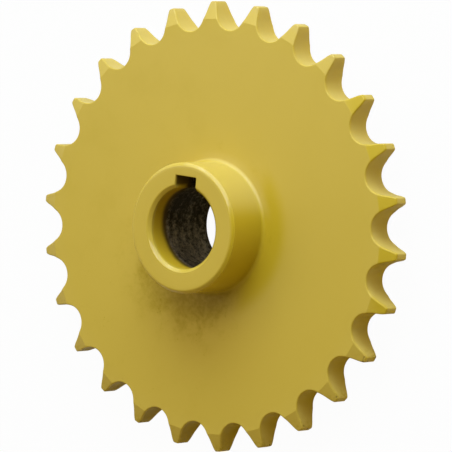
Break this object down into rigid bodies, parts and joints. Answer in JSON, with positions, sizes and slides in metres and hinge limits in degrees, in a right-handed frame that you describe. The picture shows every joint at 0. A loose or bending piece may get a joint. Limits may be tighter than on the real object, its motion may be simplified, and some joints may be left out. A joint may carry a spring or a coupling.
{
  "type": "chain sprocket",
  "caption": "Painted steel roller-chain sprocket: a flat toothed plate in one piece with a round hub that stands out on both sides, with a keyed bore.",
  "frame": {"origin": "on the bore's axis at the hub's short rear end, which the sprocket lies on", "axes": "+Z along the bore towards the hub's long nose, +Y from the axis through the keyway and the tooth gap over it, +X to the right of the keyway seen from the nose"},
  "size_m": [0.1386, 0.1376, 0.029],
  "materials": {
    "paint": "satin yellow machine paint over steel, bare dark steel inside the bore"
  },
  "bodies": {
    "root": {"sprocket": "paint"}
  },
  "joints": []
}
